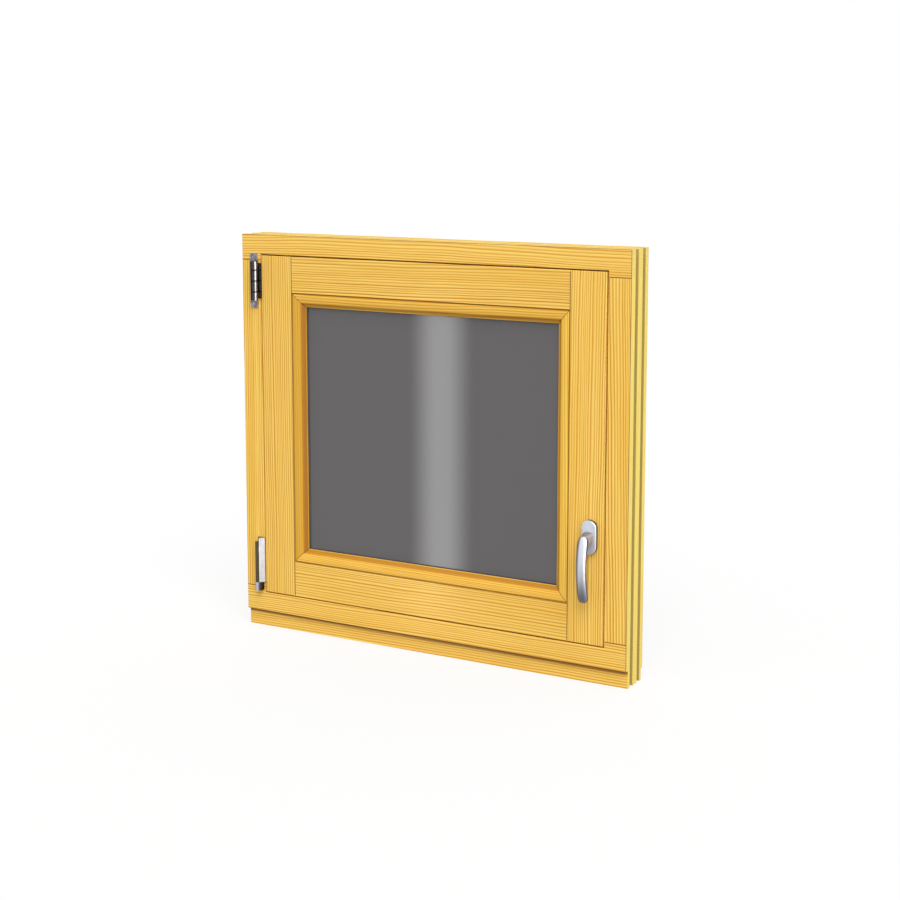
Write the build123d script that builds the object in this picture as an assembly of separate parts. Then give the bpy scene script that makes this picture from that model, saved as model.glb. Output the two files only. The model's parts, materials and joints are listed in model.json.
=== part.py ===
"""Tilt and turn window in pine, with its sash closed.

The inner side of the window faces -Y, its hinges are at -X, and +Z is up.
The origin is the middle of the frame's base, halfway through its depth.
All sizes are in millimetres.
"""
import os
from math import hypot

from build123d import *

# Frame outline
frame_width = 780.0
frame_height = 740.0
frame_depth = 68.0

# Frame faces seen beside, above and below the sash, up to the sash's edge
side_face = 43.5
head_face = 38.0
bottom_face = 69.0
seam_gap = 2.5

# Steps of the frame's rebate, from the inner face to the outer face
lip_rebate_depth = 17.0
seat_width = 8.5
stop_width = 15.0
stop_thickness = 20.0

# Grooves in the outer faces of the frame: distance from the inner face, and width
groove_depth = 8.0
inner_groove_start = 16.0
inner_groove_width = 12.5
outer_groove_start = 45.5
outer_groove_width = 11.5

# Recess for the window board and notch for the outer sill
board_recess_height = 31.0
board_recess_depth = 8.0
sill_notch_height = 21.0
sill_notch_depth = 5.0

# Weather slope of the bottom rail
slope_top_drop = 11.0
slope_fall = 6.0

# Sash
sash_projection = 1.0
sash_thickness = 54.0
sash_overhang = 20.0
sash_face_width = 66.0
nose_gap = 4.0
seal_gap = 2.0
corner_break = 0.8

# Tenons hidden in the corner joints
tenon_thickness = 14.0
tenon_length = 26.0
tenon_setback = 12.0

# Glazing: two panes held by mitred beads
bead_width = 25.0
bead_depth = 12.0
bead_quirk_width = 2.0
bead_quirk_depth = 2.0
bead_top_drop = 0.6
bead_crown_width = 16.0
bead_crown_fall = 3.6
bead_crown_middle_fall = 0.7
bead_step = 1.2
bead_edge_depth = 10.0
mitre_gap = 0.1
pane_thickness = 4.0
pane_spacing = 16.0
pane_edge_clearance = 5.0
glazing_seal_thickness = 3.0
glazing_seal_width = 7.0
glazing_seal_show = 0.8
spacer_width = 7.0
spacer_edge = 4.0
bar_joint_gap = 0.3

# Weather seals between sash and frame
lip_seal_width = 6.0
lip_seal_inset = 1.2
stop_seal_width = 3.0
stop_seal_inset = 0.3

# Rain rail on the bottom rail
rail_wall = 1.6
rail_upstand = 27.0
rail_gutter_wall = 10.0
rail_gutter_run = 15.0
rail_nose_run = 4.0
rail_nose_drop = 8.0
rail_slot_length = 30.0
rail_slot_height = 5.0
rail_slot_count = 3
rail_end_clearance = 0.2
rail_cap_thickness = 2.0

# Hinges: one vertical axis at the left of the sash
hinge_axis_inset = 32.0
hinge_axis_stand = 8.0
hinge_barrel_radius = 7.25
hinge_pin_radius = 3.5
hinge_fit = 0.05
hinge_leaf_thickness = 1.8
hinge_leaf_lift = 0.6
hinge_leaf_grip = 12.0
hinge_knuckle_gap = 0.8
top_plate_width = 16.6
top_plate_length = 101.0
top_plate_thickness = 2.5
top_plate_radius = 2.5
top_plate_inset = 27.0
top_plate_rise = 4.0
top_end_tab = 15.0
top_lug_length = 15.0
top_leaf_margin = 3.0
top_leaf_clearance = 5.4
top_ring_depth = 0.7
top_ring_width = 1.6
pin_head = 1.2
bottom_barrel_radius = 6.5
bottom_barrel_drop = 8.0
bottom_foot_length = 16.0
bottom_foot_rise = 3.0
bottom_plate_width = 13.0
bottom_plate_length = 34.0
bottom_cover_length = 85.0
bottom_cover_wall = 1.2
bottom_cover_fit = 0.2
bottom_cover_start = 41.0
bottom_cover_toe_radius = 3.0
bottom_cover_toe_inset = 41.5

# Handle
handle_inset = 24.5
handle_rise = 187.0
rosette_width = 27.5
rosette_length = 59.0
rosette_thickness = 8.0
rosette_bevel = 2.2
journal_radius = 9.0
journal_clearance = 0.05
collar_radius = 10.5
collar_gap = 0.3
collar_length = 7.0
grip_width = 18.0
grip_thickness = 11.0
grip_above = 7.0
grip_below = 107.0
grip_stand_top = 19.0
grip_stand_middle = 26.5
grip_stand_end = 16.0
grip_front_bevel = 3.0
grip_back_bevel = 2.0
neck_width = 16.5
neck_foot_height = 15.0
neck_above = 8.5
neck_below = 17.0
neck_round = 5.0
spindle_side = 7.0
spindle_socket = 14.0
spindle_reach = 30.0
spindle_hole_radius = 6.5
spindle_hole_depth = 34.0

# Depths worked out from the sizes above
front = -frame_depth / 2
back = frame_depth / 2
lip_seat = front + lip_rebate_depth
stop_front = back - stop_thickness
sash_front = front - sash_projection
sash_lip_back = lip_seat - seal_gap
sash_body_back = stop_front - seal_gap
sash_back = sash_front + sash_thickness
pane_front = sash_front + bead_depth + glazing_seal_thickness
unit_thickness = 2 * pane_thickness + pane_spacing
pane_back = pane_front + unit_thickness
glass_lip_front = pane_back + glazing_seal_thickness
half_width = frame_width / 2
past = 1.0


def bar(x, y, z):
    """A block between a low and a high value on each axis."""
    size = (x[1] - x[0], y[1] - y[0], z[1] - z[0])
    return Pos(x[0], y[0], z[0]) * Box(*size, align=(Align.MIN, Align.MIN, Align.MIN))


def inset_block(inset, y_low, y_high, bottom_inset=None):
    """A block inside the sash's outline: inset is how far it lies within the sash's edge."""
    low_inset = inset if bottom_inset is None else bottom_inset
    reach = half_width - side_face - inset
    z_range = (bottom_face + low_inset, frame_height - head_face - inset)
    return bar((-reach, reach), (y_low, y_high), z_range)


def bars_around(inset, width, y_low, y_high):
    """Four separate bars that follow the sash's outline: two across, and two upright between them."""
    reach = half_width - side_face - inset
    low = bottom_face + inset
    high = frame_height - head_face - inset
    depth = (y_low, y_high)
    upright = (low + width + bar_joint_gap, high - width - bar_joint_gap)
    return [
        bar((-reach, reach), depth, (low, low + width)),
        bar((-reach, reach), depth, (high - width, high)),
        bar((-reach, -reach + width), depth, upright),
        bar((reach - width, reach), depth, upright),
    ]


def soften(piece, depth, size):
    """Breaks the edges of a piece that lie at one depth."""
    edges = piece.edges().filter_by_position(Axis.Y, depth - 0.01, depth + 0.01)
    return chamfer(edges, size)


# Frame
def frame_opening():
    """The stepped opening of the frame: lip rebate, seat and outer stop."""
    lip = inset_block(-seam_gap, front - past, lip_seat)
    seat = inset_block(seat_width, lip_seat, stop_front)
    light = inset_block(seat_width + stop_width, stop_front, back + past, bottom_inset=seat_width)
    return lip + seat + light


def outer_grooves():
    """Two grooves along each upright outer face and along the top."""
    cuts = []
    grooves = ((inner_groove_start, inner_groove_width), (outer_groove_start, outer_groove_width))
    for start, width in grooves:
        depth = (front + start, front + start + width)
        for side in (-1, 1):
            edges = sorted((side * (half_width - groove_depth), side * (half_width + past)))
            cuts.append(bar(edges, depth, (-past, frame_height + past)))
        top = (frame_height - groove_depth, frame_height + past)
        cuts.append(bar((-half_width - past, half_width + past), depth, top))
    return cuts


def bottom_rail_profile():
    """Section of the bottom rail, with the board recess inside and the sill notch outside."""
    top = bottom_face + seat_width
    points = [
        (front, top),
        (front, board_recess_height),
        (front + board_recess_depth, board_recess_height),
        (front + board_recess_depth, 0),
        (back - sill_notch_depth, 0),
        (back - sill_notch_depth, sill_notch_height),
        (back, sill_notch_height),
        (back, top),
    ]
    return make_face(Polyline(*points, close=True))


def slope_height(depth):
    """Height of the weather slope at a depth outside the stop's plane."""
    fall = slope_fall * (depth - stop_front) / (back - stop_front)
    return bottom_face + seat_width - slope_top_drop - fall


def weather_slope_cut():
    """What the bottom rail loses between the jambs, outside the seat."""
    top = bottom_face + seat_width + past
    points = [
        (stop_front, slope_height(stop_front)),
        (back + past, slope_height(back + past)),
        (back + past, top),
        (stop_front, top),
    ]
    reach = half_width - side_face - seat_width - stop_width
    section = Plane.YZ * make_face(Polyline(*points, close=True))
    return Pos(-reach, 0, 0) * extrude(section, 2 * reach)


def frame_tenons():
    """Tenons on the ends of both jambs, set back from the grooved outer face."""
    tenons = []
    inner = side_face - seam_gap
    shoulder_low = bottom_face + seat_width
    shoulder_high = frame_height - head_face - seat_width
    depth = (-tenon_thickness / 2, tenon_thickness / 2)
    for side in (-1, 1):
        across = sorted((side * (half_width - tenon_setback), side * (half_width - inner)))
        tenons.append(bar(across, depth, (shoulder_low - tenon_length, shoulder_low)))
        tenons.append(bar(across, depth, (shoulder_high, shoulder_high + tenon_length)))
    return tenons


def frame_members():
    """Head and bottom rail run the full width, and the jambs stand between them."""
    opening = frame_opening()
    grooves = outer_grooves()
    tenons = frame_tenons()
    whole_width = (-half_width, half_width)
    head_low = frame_height - head_face - seat_width
    head = bar(whole_width, (front, stop_front), (head_low, frame_height))
    head += bar(whole_width, (stop_front, back), (head_low - stop_width, frame_height))
    bottom = Pos(-half_width, 0, 0) * extrude(Plane.YZ * bottom_rail_profile(), frame_width)
    jamb_reach = side_face + seat_width + stop_width
    jambs = {}
    for side, end_tenons in ((-1, tenons[:2]), (1, tenons[2:])):
        across = sorted((side * half_width, side * (half_width - jamb_reach)))
        blank = bar(across, (front, back), (bottom_face + seat_width, frame_height - head_face))
        jambs[side] = blank - head - opening - grooves + end_tenons
    head = head - opening - grooves - tenons
    bottom = bottom - opening - grooves - tenons - weather_slope_cut()
    return {
        "frame_head": soften(head, front, corner_break),
        "frame_bottom_rail": soften(bottom, front, corner_break),
        "frame_hinge_jamb": soften(jambs[-1], front, corner_break),
        "frame_lock_jamb": soften(jambs[1], front, corner_break),
    }


# Sash
def sash_blank():
    """The sash in one piece: lip, body and nose, opened for the glazing."""
    lip = inset_block(0, sash_front, sash_lip_back)
    body = inset_block(sash_overhang, sash_lip_back, sash_body_back)
    nose = inset_block(seat_width + stop_width + nose_gap, sash_body_back, sash_back)
    rebate = inset_block(sash_face_width, sash_front - past, glass_lip_front)
    sight = inset_block(sash_face_width + bead_width, glass_lip_front, sash_back + past)
    return lip + body + nose - rebate - sight


def sash_tenons():
    """Tenons on the ends of both rails, in the stiles' thickness."""
    tenons = []
    inner = half_width - side_face - sash_face_width
    depth = (sash_lip_back, sash_lip_back + tenon_thickness)
    low = bottom_face
    high = frame_height - head_face
    edge = sash_overhang + tenon_setback
    rails = ((low + edge, low + sash_face_width), (high - sash_face_width, high - edge))
    for height in rails:
        for side in (-1, 1):
            across = sorted((side * inner, side * (inner + tenon_length)))
            tenons.append(bar(across, depth, height))
    return tenons


def sash_members():
    """The stiles run the full height, and the rails stand between them."""
    blank = sash_blank()
    tenons = sash_tenons()
    inner = half_width - side_face - sash_face_width
    sight = inner - bead_width
    height = (0, frame_height)
    stiles = {}
    for side in (-1, 1):
        zone = bar(sorted((side * half_width, side * inner)), (sash_front, glass_lip_front), height)
        zone += bar(sorted((side * half_width, side * sight)), (glass_lip_front, sash_back), height)
        stiles[side] = (blank & zone) - tenons
    rails = blank - stiles[-1] - stiles[1] - tenons
    rails = rails.solids().sort_by(Axis.Z)
    lower = Part() + rails[0] + tenons[:2]
    upper = Part() + rails[-1] + tenons[2:]
    lock = stiles[1] - spindle_hole()
    return {
        "sash_top_rail": soften(upper, sash_front, corner_break),
        "sash_bottom_rail": soften(lower, sash_front, corner_break),
        "sash_hinge_stile": soften(stiles[-1], sash_front, corner_break),
        "sash_lock_stile": soften(lock, sash_front, corner_break),
    }


# Glazing
def bead_profile():
    """Section of a bead: x runs from the sash towards the glass, y from the face into the depth."""
    crown_start = bead_quirk_width
    crown_end = bead_quirk_width + bead_crown_width
    low = bead_top_drop + bead_crown_fall
    middle = bead_top_drop + bead_crown_middle_fall
    edge = bead_edge_depth
    step = low + bead_step
    crown = ThreePointArc(
        (crown_start, bead_top_drop), ((crown_start + crown_end) / 2, middle), (crown_end, low))
    cove = ThreePointArc(
        (crown_end, step),
        ((crown_end + bead_width) / 2 - bead_step / 2, (step + edge) / 2 + bead_step / 2),
        (bead_width, edge),
    )
    lines = [
        Polyline((0, bead_quirk_depth), (crown_start, bead_quirk_depth), (crown_start, bead_top_drop)),
        crown,
        Line((crown_end, low), (crown_end, step)),
        cove,
        Polyline((bead_width, edge), (bead_width, bead_depth), (0, bead_depth), (0, bead_quirk_depth)),
    ]
    return make_face(lines)


def bead(length):
    """A bead lying along X above the line z = 0, with mitred ends."""
    turned = Plane(origin=(0, 0, 0), x_dir=(0, 0, 1), z_dir=(-1, 0, 0))
    strip = extrude(turned * bead_profile(), length / 2, both=True)
    half = length / 2 - mitre_gap
    mitre = [(-half, 0), (half, 0), (half - bead_width, bead_width), (-half + bead_width, bead_width)]
    outline = extrude(Plane.XZ * make_face(Polyline(*mitre, close=True)), bead_depth, both=True)
    return strip & outline


def beads():
    """Four beads round the glass, one along each side of the glazing rebate."""
    wide = frame_width - 2 * (side_face + sash_face_width)
    tall = frame_height - head_face - bottom_face - 2 * sash_face_width
    low = bottom_face + sash_face_width
    middle = low + tall / 2
    return {
        "bead_bottom": Pos(0, sash_front, low) * bead(wide),
        "bead_top": Pos(0, sash_front, low + tall) * Rot(0, 180, 0) * bead(wide),
        "bead_hinge_side": Pos(-wide / 2, sash_front, middle) * Rot(0, 90, 0) * bead(tall),
        "bead_lock_side": Pos(wide / 2, sash_front, middle) * Rot(0, -90, 0) * bead(tall),
    }


def glazing():
    """Two panes with a spacer between them, and a seal on each side."""
    edge = sash_face_width + pane_edge_clearance
    inner_back = pane_front + pane_thickness
    outer_front = inner_back + pane_spacing
    seal_start = sash_face_width + bead_width + glazing_seal_show - glazing_seal_width
    return {
        "inner_pane": inset_block(edge, pane_front, inner_back),
        "outer_pane": inset_block(edge, outer_front, pane_back),
        "glass_spacer": bars_around(edge + spacer_edge, spacer_width, inner_back, outer_front),
        "inner_glazing_seal": bars_around(
            seal_start, glazing_seal_width, pane_front - glazing_seal_thickness, pane_front),
        "outer_glazing_seal": bars_around(seal_start, glazing_seal_width, pane_back, glass_lip_front),
    }


def weather_seals():
    """A seal behind the sash's lip, and one against the frame's outer stop."""
    return {
        "lip_seal": bars_around(lip_seal_inset, lip_seal_width, sash_lip_back, lip_seat),
        "stop_seal": bars_around(
            sash_overhang + stop_seal_inset, stop_seal_width, sash_body_back, stop_front),
    }


# Rain rail
def rain_rail_lines():
    """Centre lines of the rail's section: the long one with its nose, and the gutter wall."""
    slope_run = back - stop_front
    lift = rail_wall / 2 * hypot(slope_run, slope_fall) / slope_run
    rear = stop_front + rail_wall / 2
    nose = back + rail_nose_run
    gutter = rear + rail_gutter_run
    top = slope_height(stop_front) + rail_upstand
    run = Polyline(
        (rear, top),
        (rear, slope_height(rear) + lift),
        (nose, slope_height(nose) + lift),
        (nose, slope_height(nose) + lift - rail_nose_drop),
    )
    wall = Line((gutter, slope_height(gutter) + lift), (gutter, slope_height(gutter) + rail_gutter_wall))
    return run, wall


def rain_rail():
    """The rail between the jambs, with drain slots in its gutter wall, and a cap at each end."""
    reach = half_width - side_face - seat_width - stop_width - rail_end_clearance
    run, wall = rain_rail_lines()
    section = trace(run, rail_wall) + trace(wall, rail_wall)
    caps_at = reach - rail_cap_thickness
    rail = Pos(-caps_at, 0, 0) * extrude(Plane.YZ * section, 2 * caps_at)
    gutter = stop_front + rail_wall / 2 + rail_gutter_run
    slot_low = slope_height(gutter) + rail_wall
    pitch = 2 * caps_at / rail_slot_count
    for index in range(rail_slot_count):
        middle = -caps_at + pitch * (index + 0.5)
        across = (middle - rail_slot_length / 2, middle + rail_slot_length / 2)
        through = (gutter - rail_wall, gutter + rail_wall)
        rail -= bar(across, through, (slot_low, slot_low + rail_slot_height))
    outline = [
        (stop_front, slope_height(stop_front) + rail_upstand),
        (stop_front, slope_height(stop_front)),
        (back + rail_nose_run, slope_height(back + rail_nose_run)),
        (back + rail_nose_run, slope_height(back + rail_nose_run) + rail_wall),
        (gutter + rail_wall, slope_height(gutter) + rail_gutter_wall),
        (stop_front + rail_wall, slope_height(stop_front) + rail_upstand),
    ]
    cap = extrude(Plane.YZ * make_face(Polyline(*outline, close=True)), rail_cap_thickness)
    return {
        "rain_rail": rail,
        "rain_rail_end_caps": [Pos(-reach, 0, 0) * cap, Pos(caps_at, 0, 0) * cap],
    }


# Hinges
hinge_x = -half_width + hinge_axis_inset
hinge_y = front - hinge_axis_stand
sash_edge_x = -half_width + side_face
top_plate_high = frame_height - head_face + top_plate_rise
top_barrel_high = top_plate_high - top_end_tab
top_barrel_low = top_plate_high - top_plate_length + top_end_tab
foot_low = bottom_face + bottom_foot_rise
foot_high = foot_low + bottom_foot_length


def barrel(radius, low, high):
    """A round upright piece on the hinge axis."""
    upward = (Align.CENTER, Align.CENTER, Align.MIN)
    return Pos(hinge_x, hinge_y, low) * Cylinder(radius, high - low, align=upward)


def face_plate(inset, width, low, high, thickness):
    """A plate with rounded corners on the frame's inner face."""
    outline = RectangleRounded(width, high - low, top_plate_radius)
    place = Pos(-half_width + inset, front, (low + high) / 2)
    return place * extrude(Plane.XZ * outline, thickness)


def sash_leaf(low, high):
    """The leaf from the barrel over the frame's face and into the seam, against the sash's edge."""
    lift = front - hinge_leaf_lift
    outer = lift - hinge_leaf_thickness
    inside = sash_edge_x - hinge_leaf_thickness
    points = [
        (hinge_x, outer),
        (sash_edge_x, outer),
        (sash_edge_x, front + hinge_leaf_grip),
        (inside, front + hinge_leaf_grip),
        (inside, lift),
        (hinge_x, lift),
    ]
    return Pos(0, 0, low) * extrude(make_face(Polyline(*points, close=True)), high - low)


def sash_knuckle(low, high):
    """The sash's part of a hinge: a bored barrel with its leaf."""
    web_x = (hinge_x, hinge_x + 2 * hinge_leaf_thickness)
    web = bar(web_x, (hinge_y, front - hinge_leaf_lift), (low, high))
    piece = barrel(hinge_barrel_radius, low, high) + sash_leaf(low, high) + web
    return piece - barrel(hinge_pin_radius + hinge_fit, low - past, high + past)


def top_hinge():
    """Frame plate with two lugs, the sash's knuckle between them, and the pin through all."""
    lug_high = top_barrel_high - top_lug_length
    lug_low = top_barrel_low + top_lug_length
    low = top_plate_high - top_plate_length
    bracket = face_plate(top_plate_inset, top_plate_width, low, top_plate_high, top_plate_thickness)
    lugs = [(lug_high, top_barrel_high), (top_barrel_low, lug_low)]
    lug_x = (hinge_x - top_plate_thickness, hinge_x + top_plate_thickness)
    for start, end in lugs:
        bracket += barrel(hinge_barrel_radius, start, end)
        bracket += bar(lug_x, (hinge_y, front), (start, end))
    bracket -= barrel(hinge_pin_radius, low, top_plate_high)
    arm_range = (lug_low + hinge_knuckle_gap, lug_high - hinge_knuckle_gap)
    leaf = sash_leaf(top_barrel_low + top_leaf_margin, top_barrel_high - top_leaf_margin)
    beside_x = (-half_width, hinge_x + top_leaf_clearance)
    leaf -= bar(beside_x, (hinge_y, front), (low, top_plate_high))
    arm = sash_knuckle(*arm_range) + leaf
    clear = bar(
        (-half_width, hinge_x + hinge_barrel_radius / 2),
        (front - top_plate_thickness, front),
        (lug_low, lug_high),
    )
    ring_at = (lug_low + lug_high) / 2
    ring_range = (ring_at - top_ring_width / 2, ring_at + top_ring_width / 2)
    ring = barrel(hinge_barrel_radius + past, *ring_range)
    ring -= barrel(hinge_barrel_radius - top_ring_depth, *ring_range)
    ring -= bar((-half_width, half_width), (hinge_y, back), ring_range)
    pin = barrel(hinge_pin_radius, top_barrel_low - pin_head, top_barrel_high + pin_head)
    return {
        "top_hinge_frame_bracket": bracket,
        "top_hinge_sash_arm": arm - bracket - clear - ring,
        "top_hinge_pin": pin,
    }


def bottom_hinge():
    """The bearing on the frame, its pin, the sash's strap and the cover over the strap."""
    strap_low = foot_high + hinge_knuckle_gap
    strap_high = foot_high + bottom_cover_length
    bearing = barrel(bottom_barrel_radius, foot_low, foot_high)
    foot_x = (hinge_x - bottom_barrel_radius, hinge_x + bottom_barrel_radius)
    bearing += bar(foot_x, (hinge_y, front), (foot_low, foot_high))
    plate_high = foot_low + bottom_plate_length
    bearing += face_plate(hinge_axis_inset - past, bottom_plate_width, foot_low, plate_high, hinge_leaf_lift)
    pin_low = foot_low + bottom_foot_length / 2
    pin_high = foot_high + bottom_foot_length
    pin = barrel(hinge_pin_radius, pin_low, pin_high)
    bearing -= barrel(hinge_pin_radius, pin_low, pin_high)
    toe_x = -half_width + bottom_cover_toe_inset
    strap = barrel(bottom_barrel_radius, strap_low, strap_high - bottom_barrel_drop)
    strap += sash_leaf(strap_low, strap_high - bottom_cover_wall)
    strap -= barrel(hinge_pin_radius + hinge_fit, strap_low - past, pin_high + past)
    heel = Pos(hinge_x, hinge_y) * Circle(bottom_barrel_radius + bottom_cover_fit + bottom_cover_wall)
    toe = Pos(toe_x, front - bottom_cover_toe_radius - hinge_leaf_lift) * Circle(bottom_cover_toe_radius)
    outline = make_hull((heel + toe).edges())
    solid = Pos(0, 0, strap_low) * extrude(outline, strap_high - strap_low)
    hollow = Pos(0, 0, strap_low - past) * extrude(
        offset(outline, -bottom_cover_wall), strap_high - strap_low - bottom_cover_wall + past)
    frame_side = bar((-half_width, sash_edge_x), (front - hinge_leaf_lift, back), (0, frame_height))
    open_side = Box(half_width, half_width, frame_height, align=(Align.MAX, Align.CENTER, Align.MIN))
    open_side = Pos(hinge_x, hinge_y) * Rot(0, 0, bottom_cover_start) * open_side
    cover = solid - hollow - frame_side - open_side - sash_leaf(strap_low, strap_high)
    return {
        "bottom_hinge_bearing": bearing,
        "bottom_hinge_pin": pin,
        "bottom_hinge_strap": strap,
        "bottom_hinge_cover": cover,
    }


# Handle
handle_x = half_width - side_face - handle_inset
handle_z = bottom_face + handle_rise
rosette_front = sash_front - rosette_thickness


def on_handle_axis(depth):
    """A plane across the handle's axis, facing the room."""
    return Plane(origin=(handle_x, depth, handle_z), x_dir=(1, 0, 0), z_dir=(0, -1, 0))


def spindle_hole():
    """The hole in the lock stile for the handle's spindle."""
    return extrude(on_handle_axis(sash_front + spindle_hole_depth) * Circle(spindle_hole_radius),
                   spindle_hole_depth + past)


def handle_rosette():
    """An oval cover with a bevelled rim and the bore that the lever turns in."""
    body = extrude(on_handle_axis(sash_front) * SlotOverall(rosette_length, rosette_width, rotation=90),
                   rosette_thickness)
    rim = body.faces().sort_by(Axis.Y)[0].edges()
    body = chamfer(rim, rosette_bevel)
    bore = on_handle_axis(sash_front + past) * Circle(journal_radius + journal_clearance)
    return body - extrude(bore, rosette_thickness + 2 * past)


def bow_face(piece, side):
    """One of the grip's two long bowed faces: side 0 faces the room, side -1 the window."""
    bows = piece.faces().filter_by(GeomType.CYLINDER).sort_by(SortBy.AREA)[-2:]
    return bows.sort_by(Axis.Y)[side]


def grip():
    """The bowed grip, where its front and side outlines meet, with bevels round both long faces."""
    middle = (grip_above - grip_below) / 2
    front_view = Pos(0, middle) * SlotOverall(grip_above + grip_below, grip_width, rotation=90)
    upright = extrude(on_handle_axis(rosette_front) * front_view, grip_stand_middle + grip_thickness)
    bow = ThreePointArc(
        (-grip_stand_top, grip_above), (-grip_stand_middle, middle), (-grip_stand_end, -grip_below))
    band = Pos(handle_x, rosette_front, handle_z) * (Plane.YZ * trace(bow, grip_thickness))
    piece = upright & extrude(band, grip_width, both=True)
    piece = chamfer(bow_face(piece, -1).edges(), grip_back_bevel)
    return chamfer(bow_face(piece, 0).edges(), grip_front_bevel)


def lever_neck():
    """The gusset that widens from the collar to the back of the grip, with its long edges rounded."""
    foot = past - collar_gap - collar_length
    points = [
        (foot, neck_foot_height / 2),
        (-grip_stand_top, neck_above),
        (-grip_stand_top, -neck_below),
        (foot, -neck_foot_height / 2),
    ]
    outline = Pos(handle_x, rosette_front, handle_z) * (Plane.YZ * make_face(Polyline(*points, close=True)))
    block = extrude(outline, neck_width / 2, both=True)
    long_edges = block.edges().filter_by(Axis.X, reverse=True).filter_by(Axis.Z, reverse=True)
    return fillet(long_edges, neck_round)


def handle_lever():
    """The grip, neck, collar and journal in one piece, with the spindle's square socket."""
    collar = extrude(on_handle_axis(rosette_front - collar_gap) * Circle(collar_radius), collar_length)
    journal_length = rosette_thickness + collar_gap
    journal = extrude(on_handle_axis(sash_front) * Circle(journal_radius), journal_length)
    socket_at = on_handle_axis(sash_front)
    socket = extrude(socket_at * Rectangle(spindle_side, spindle_side), spindle_socket)
    return grip() + lever_neck() + collar + journal - socket


def handle_spindle():
    """The square bar from the lever's socket into the lock stile."""
    start = on_handle_axis(sash_front + spindle_reach)
    return extrude(start * Rectangle(spindle_side, spindle_side), spindle_reach + spindle_socket)


def main():
    """Makes every piece and writes one file for each node."""
    nodes = {}
    nodes.update(frame_members())
    nodes.update(sash_members())
    nodes.update(beads())
    nodes.update(glazing())
    nodes.update(weather_seals())
    nodes.update(rain_rail())
    nodes.update(top_hinge())
    nodes.update(bottom_hinge())
    nodes["handle_rosette"] = handle_rosette()
    nodes["handle_lever"] = handle_lever()
    nodes["handle_spindle"] = handle_spindle()
    os.makedirs("parts", exist_ok=True)
    for name, shape in nodes.items():
        piece = Compound(children=shape) if isinstance(shape, list) else shape
        export_step(piece, "parts/" + name + ".step")


main()
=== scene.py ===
"""Finishes and fine pieces for a pine tilt and turn window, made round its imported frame."""
import json
from math import pi, radians, sqrt

import bmesh
import bpy
from bpy.props import FloatProperty, FloatVectorProperty, PointerProperty
from mathutils import Euler, Matrix, Vector


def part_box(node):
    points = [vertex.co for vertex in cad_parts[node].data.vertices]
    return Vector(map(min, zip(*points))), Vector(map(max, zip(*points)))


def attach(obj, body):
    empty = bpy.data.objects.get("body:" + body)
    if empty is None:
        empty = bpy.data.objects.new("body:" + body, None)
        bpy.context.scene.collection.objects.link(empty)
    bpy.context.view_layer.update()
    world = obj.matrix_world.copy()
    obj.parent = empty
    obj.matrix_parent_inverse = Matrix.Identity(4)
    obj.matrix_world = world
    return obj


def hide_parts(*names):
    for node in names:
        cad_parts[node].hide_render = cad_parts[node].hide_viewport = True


bl_info = {
    "name": "Tilt and Turn Window Finishes",
    "version": (1, 0, 0),
    "blender": (4, 5, 0),
    "location": "3D View > Sidebar > Window",
    "description": "Wood, glass, metal and fine pieces for a pine tilt and turn window",
    "category": "Object",
}

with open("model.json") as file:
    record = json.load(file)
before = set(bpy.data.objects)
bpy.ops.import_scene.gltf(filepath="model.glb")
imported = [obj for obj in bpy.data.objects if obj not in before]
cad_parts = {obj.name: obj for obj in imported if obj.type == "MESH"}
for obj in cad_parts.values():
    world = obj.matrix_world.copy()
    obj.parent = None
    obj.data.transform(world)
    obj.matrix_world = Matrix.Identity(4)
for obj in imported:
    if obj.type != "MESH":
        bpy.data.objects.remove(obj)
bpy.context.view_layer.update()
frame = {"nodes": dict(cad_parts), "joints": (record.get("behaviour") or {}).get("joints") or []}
nodes = frame["nodes"]
MM = 0.001
HANDLE_AXIS = Vector(frame["joints"][0]["pos_m"])
FRAME_LOW, FRAME_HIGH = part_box("frame_head")

# Middle of the seam between sash and frame, and the outline of the four beads
SEAM_WIDTH = 2.5 * MM
SEAM_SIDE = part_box("sash_lock_stile")[1].x + SEAM_WIDTH / 2
SEAM_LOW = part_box("sash_bottom_rail")[0].z - SEAM_WIDTH / 2
SEAM_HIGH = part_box("sash_top_rail")[1].z + SEAM_WIDTH / 2
BEADS_LOW, BEADS_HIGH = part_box("bead_bottom")[0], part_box("bead_top")[1]

# Outer edges of the frame: how far in and how deep they are unfinished and partly painted light, and where
# grooved
RAW_REACH = 8.5 * MM
RAW_DEPTH = 33.0 * MM
GROOVES = (-18.0 * MM, 23.0 * MM)
GROOVE_FLOOR = 1.0 * MM
SHARP = 0.2 * MM
SOFT = 0.3 * MM

# Recess along the foot of the frame: its depth, its top, and the heights over which a painted shadow
# darkens it
RECESS_DEPTH = -26.0 * MM
RECESS_TOP = 31.0 * MM
RECESS_SHADOW = (21.0 * MM, 29.0 * MM)

# Figure of the wood: how often the rings bend for each metre, and how far
WANDER, WANDER_SIDEWAYS, WANDER_DEEP = 1.3, 22 * MM, 10 * MM
RIPPLE_ALONG, RIPPLE_ACROSS, RIPPLE_BEND = 7.0, 26.0, 4.5 * MM
UNEVEN, UNEVEN_RINGS = 42.0, 2.8
# Late wood within a ring, the fine lines between the rings, and how many of those a ring has
LATE_WOOD = (0.30, 0.78, 0.82, 0.97)
FINE_LINE = (0.35, 0.75, 0.75, 1.0)
FINE_LINES = 2.7
# Fibres and cloudy patches for each metre along the grain and across it
FIBRE = (9.0, 620.0)
BEAD_FIBRE = (9.0, 700.0)
CLOUD = (2.4, 30.0)
WOOD_BUMP = 0.12 * MM

# Surfaces by how far they face an axis: end grain, and arrises between the front and an edge
END_GRAIN = (0.75, 0.95)
ARRIS = (0.45, 0.6, 0.8, 0.95)
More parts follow.
